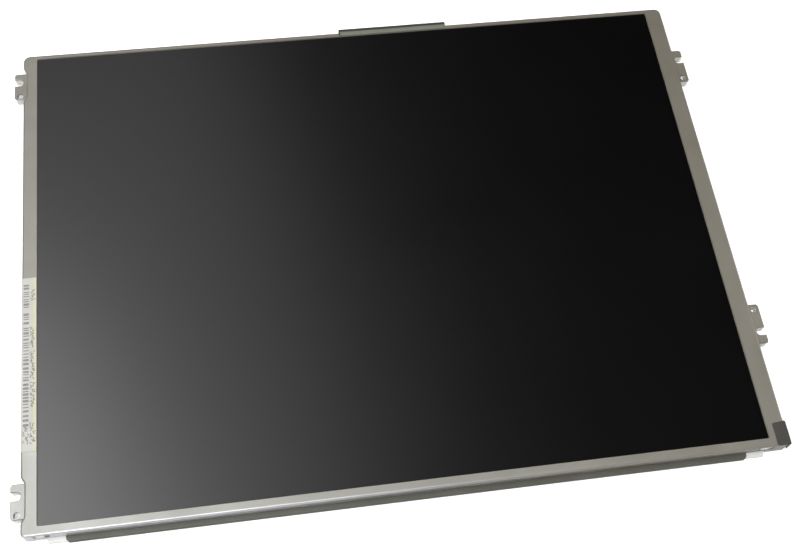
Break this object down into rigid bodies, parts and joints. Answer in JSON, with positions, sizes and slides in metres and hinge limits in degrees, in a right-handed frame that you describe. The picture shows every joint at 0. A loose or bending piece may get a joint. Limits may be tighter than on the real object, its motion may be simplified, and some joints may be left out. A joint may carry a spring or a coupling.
{
  "type": "laptop screen panel",
  "caption": "Thin rectangular liquid crystal screen panel in a steel bezel with notched mounting ears, an edge-lit light guide and a driver board folded behind its lower edge.",
  "frame": {"origin": "under the middle of the whole part, on the plane that its back rests on", "axes": "+Z out of the screen, +Y towards the screen's top edge, +X to the right seen from the front"},
  "size_m": [0.2688, 0.1962, 0.0058],
  "materials": {
    "bezel_steel": "satin rolled sheet",
    "frame_white": "moulded, fine matte",
    "screen_film": "anti-glare",
    "inner_film": "thin film",
    "panel_glass": "clear",
    "diffuser_film": "milky",
    "guide_acrylic": "clear acrylic",
    "reflector_white": "white film",
    "lamp_glass": "phosphor coated",
    "lamp_foil": "polished",
    "holder_rubber": "soft",
    "board_green": "solder resist",
    "driver_film": "amber film",
    "chip_black": "moulded package",
    "connector_cream": "moulded",
    "contact_brass": "plated",
    "capacitor_tan": "fired",
    "screw_steel": "plated",
    "cover_grey": "matte film",
    "corner_black": "matte",
    "gasket_cloth": "woven metal cloth",
    "label_paper": "printed strip"
  },
  "bodies": {
    "root": {"front_bezel": "bezel_steel", "mould_frame": "frame_white", "front_gasket": "corner_black", "front_polariser": "screen_film", "filter_glass": "panel_glass", "array_glass": "panel_glass", "rear_polariser": "inner_film", "upper_diffuser": "diffuser_film", "upper_prism_sheet": "diffuser_film", "lower_prism_sheet": "diffuser_film", "lower_diffuser": "diffuser_film", "light_guide": "guide_acrylic", "reflector_sheet": "reflector_white", "lamp_tube": "lamp_glass", "lamp_reflector": "lamp_foil", "lamp_holder_left": "holder_rubber", "lamp_holder_right": "holder_rubber", "driver_board": "board_green", "board_insulator": "cover_grey", "board_connector": "connector_cream", "connector_contacts": "contact_brass", "timing_chip": "chip_black", "power_chip": "chip_black", "gamma_chip": "chip_black", "board_capacitors": "capacitor_tan", "board_screws": "screw_steel", "bottom_cover": "cover_grey", "corner_tape": "corner_black", "top_gasket": "gasket_cloth", "side_label": "label_paper", "source_film_1": "driver_film", "source_chip_1": "chip_black", "source_film_2": "driver_film", "source_chip_2": "chip_black", "source_film_3": "driver_film", "source_chip_3": "chip_black", "source_film_4": "driver_film", "source_chip_4": "chip_black", "source_film_5": "driver_film", "source_chip_5": "chip_black", "source_film_6": "driver_film", "source_chip_6": "chip_black", "source_film_7": "driver_film", "source_chip_7": "chip_black", "source_film_8": "driver_film", "source_chip_8": "chip_black", "gate_film_1": "driver_film", "gate_chip_1": "chip_black", "gate_film_2": "driver_film", "gate_chip_2": "chip_black", "gate_film_3": "driver_film", "gate_chip_3": "chip_black"}
  },
  "joints": []
}
